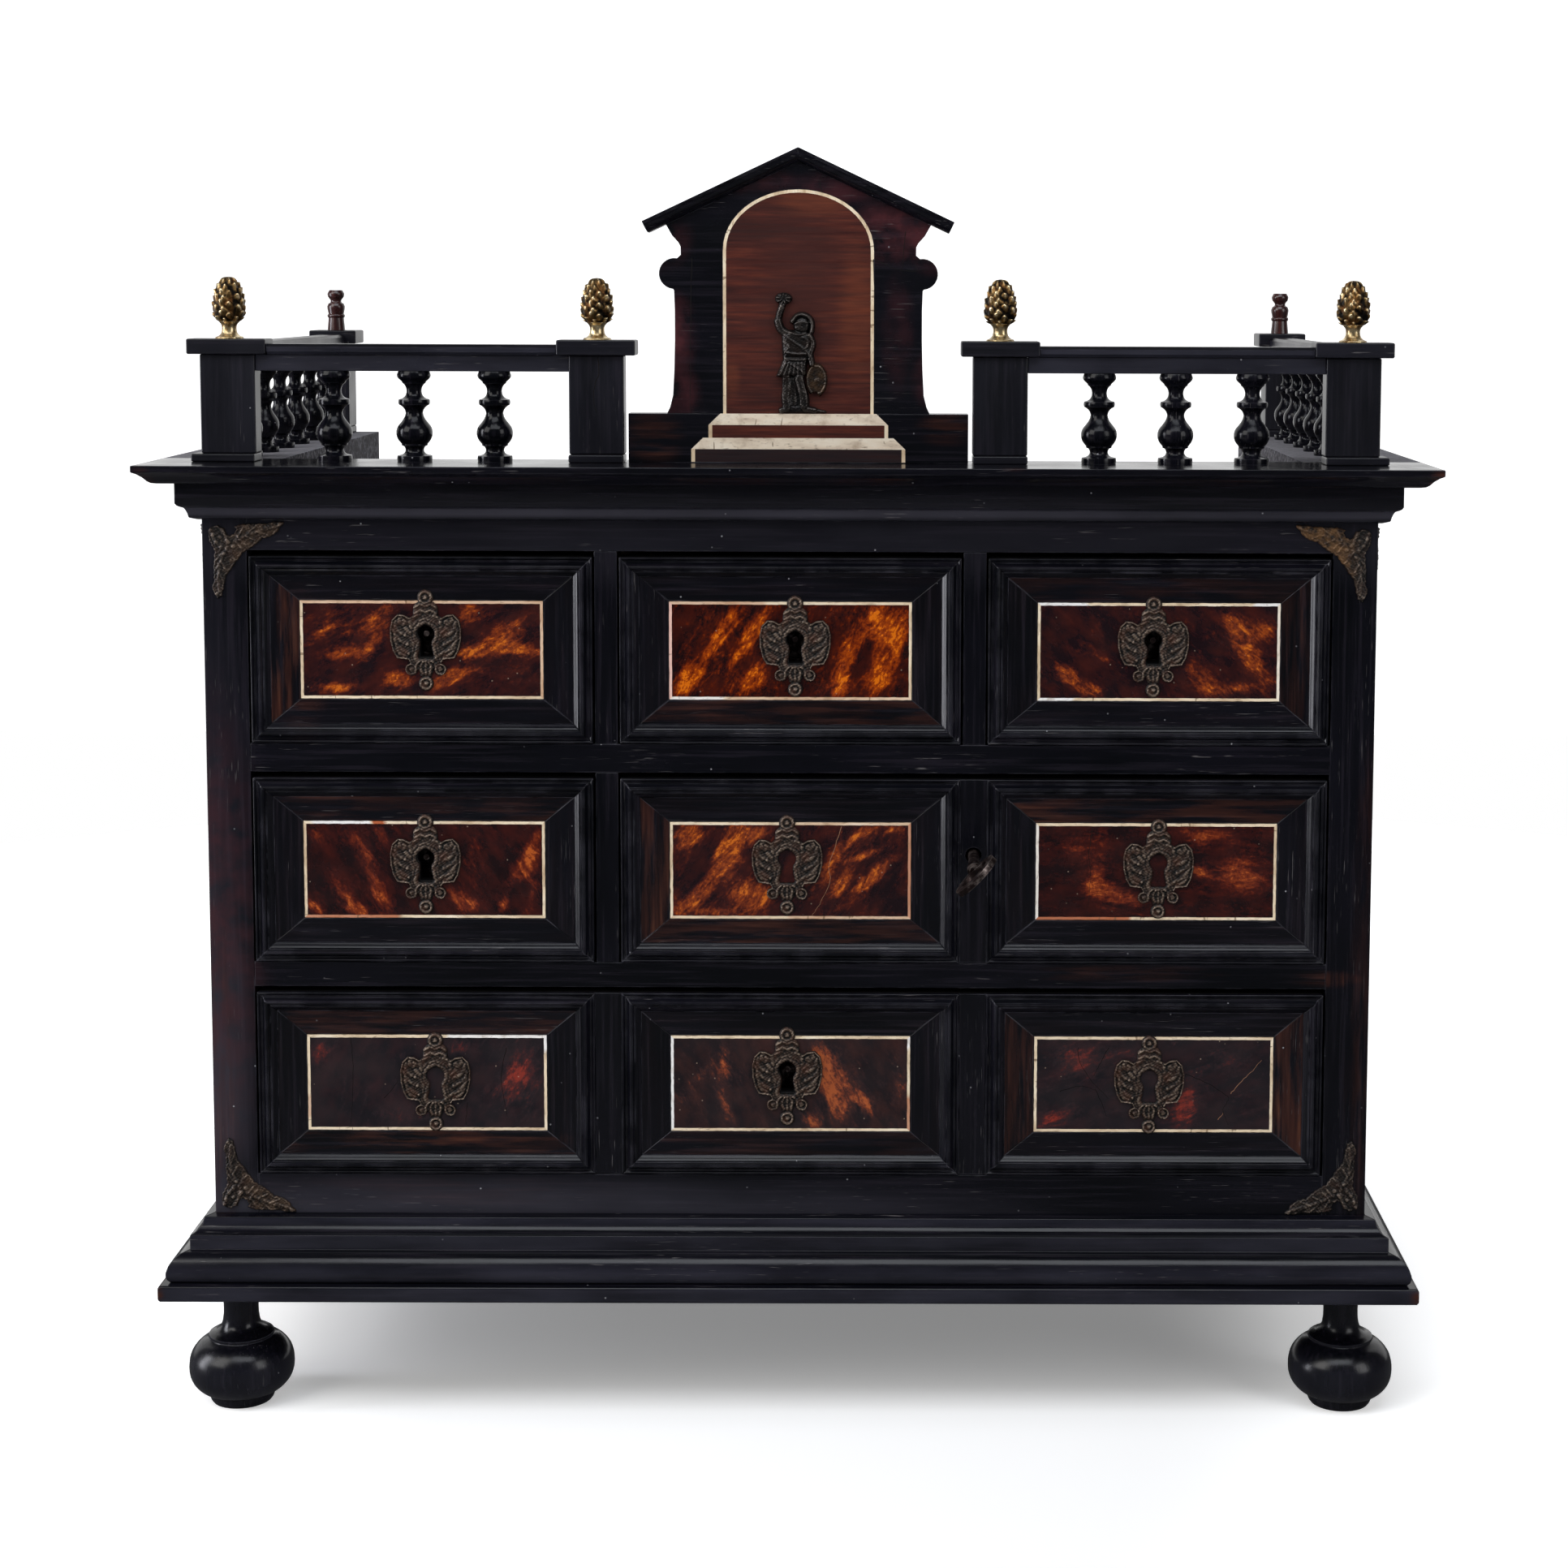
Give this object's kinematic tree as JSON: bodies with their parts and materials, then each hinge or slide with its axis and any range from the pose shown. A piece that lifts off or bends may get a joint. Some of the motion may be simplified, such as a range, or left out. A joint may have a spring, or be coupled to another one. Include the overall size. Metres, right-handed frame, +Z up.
{
  "type": "jewelry cabinet",
  "caption": "Ebonised table cabinet with panelled drawers, ball feet, moulded cornice, turned gallery and gabled niche.",
  "frame": {"origin": "on the surface it stands on, under the middle of the whole object with its key counted", "axes": "+Z up; the drawer fronts face -Y; +X to the viewer's right"},
  "size_m": [0.7, 0.385, 0.7],
  "materials": {
    "ebonised_wood": "semi-gloss, worn",
    "carcass_wood": "raw, dusty",
    "drawer_wood": "raw",
    "niche_wood": "satin",
    "red_brown_wood": "satin",
    "tortoiseshell": "polished",
    "bone": "smooth",
    "gilt_brass": "worn gilding",
    "dark_bronze": "dark patina",
    "iron": "worn, rusty brown"
  },
  "bodies": {
    "cabinet": {"back_panel": "carcass_wood", "base_moulding": "ebonised_wood", "bottom_board": "carcass_wood", "bun_feet": "ebonised_wood", "carcass_sides": "ebonised_wood", "corner_mounts": "dark_bronze", "cornice": "ebonised_wood", "dust_boards": "carcass_wood", "face_frame": "ebonised_wood", "gallery_balusters": "ebonised_wood", "gallery_posts": "ebonised_wood", "gallery_rails": "ebonised_wood", "niche_figure": "dark_bronze", "niche_inlay": "bone", "niche_panel": "niche_wood", "pediment_board": "ebonised_wood", "pediment_plinth": "ebonised_wood", "pediment_roof": "ebonised_wood", "pinecone_finials": "gilt_brass", "plinth_board": "ebonised_wood", "top_board": "carcass_wood", "turned_finials": "red_brown_wood"},
    "drawer_top_left": {"drawer_top_left_box": "drawer_wood", "drawer_top_left_facing": "ebonised_wood", "drawer_top_left_shell": "tortoiseshell", "drawer_top_left_stringing": "bone", "drawer_top_left_escutcheon": "dark_bronze", "drawer_top_left_lock": "iron"},
    "drawer_top_centre": {"drawer_top_centre_box": "drawer_wood", "drawer_top_centre_facing": "ebonised_wood", "drawer_top_centre_shell": "tortoiseshell", "drawer_top_centre_stringing": "bone", "drawer_top_centre_escutcheon": "dark_bronze", "drawer_top_centre_lock": "iron"},
    "drawer_top_right": {"drawer_top_right_box": "drawer_wood", "drawer_top_right_facing": "ebonised_wood", "drawer_top_right_shell": "tortoiseshell", "drawer_top_right_stringing": "bone", "drawer_top_right_escutcheon": "dark_bronze", "drawer_top_right_lock": "iron"},
    "drawer_middle_left": {"drawer_middle_left_box": "drawer_wood", "drawer_middle_left_facing": "ebonised_wood", "drawer_middle_left_shell": "tortoiseshell", "drawer_middle_left_stringing": "bone", "drawer_middle_left_escutcheon": "dark_bronze", "drawer_middle_left_lock": "iron"},
    "drawer_middle_double": {"drawer_middle_double_box": "drawer_wood", "drawer_middle_double_facing": "ebonised_wood", "drawer_middle_double_shell": "tortoiseshell", "drawer_middle_double_stringing": "bone", "drawer_middle_double_escutcheon": "dark_bronze", "drawer_middle_double_lock": "iron"},
    "drawer_bottom": {"drawer_bottom_box": "drawer_wood", "drawer_bottom_facing": "ebonised_wood", "drawer_bottom_shell": "tortoiseshell", "drawer_bottom_stringing": "bone", "drawer_bottom_escutcheon": "dark_bronze", "drawer_bottom_lock": "iron"},
    "key": {"key": "iron"},
    "lock_bolt": {"lock_bolt": "iron"}
  },
  "joints": [
    {"name": "drawer_top_left_slide", "type": "slide", "parent": "cabinet", "child": "drawer_top_left", "axis": [0, -1, 0], "range_m": [0, 0.22]},
    {"name": "drawer_top_centre_slide", "type": "slide", "parent": "cabinet", "child": "drawer_top_centre", "axis": [0, -1, 0], "range_m": [0, 0.22]},
    {"name": "drawer_top_right_slide", "type": "slide", "parent": "cabinet", "child": "drawer_top_right", "axis": [0, -1, 0], "range_m": [0, 0.22]},
    {"name": "drawer_middle_left_slide", "type": "slide", "parent": "cabinet", "child": "drawer_middle_left", "axis": [0, -1, 0], "range_m": [0, 0.22]},
    {"name": "drawer_middle_double_slide", "type": "slide", "parent": "cabinet", "child": "drawer_middle_double", "axis": [0, -1, 0], "range_m": [0, 0.22]},
    {"name": "drawer_bottom_slide", "type": "slide", "parent": "cabinet", "child": "drawer_bottom", "axis": [0, -1, 0], "range_m": [0, 0.22]},
    {"name": "key_turn", "type": "hinge", "parent": "drawer_middle_double", "child": "key", "pos_m": [0.10068, -0.15, 0.31385], "axis": [0, 1, 0], "range_deg": [0, 90]},
    {"name": "lock_bolt_throw", "type": "slide", "parent": "drawer_middle_double", "child": "lock_bolt", "axis": [0, 0, 1], "range_m": [0, 0.0065]}
  ],
  "couplings": [
    {"joint": "lock_bolt_throw", "follows": "key_turn", "m_per_rad": 0.004138}
  ]
}
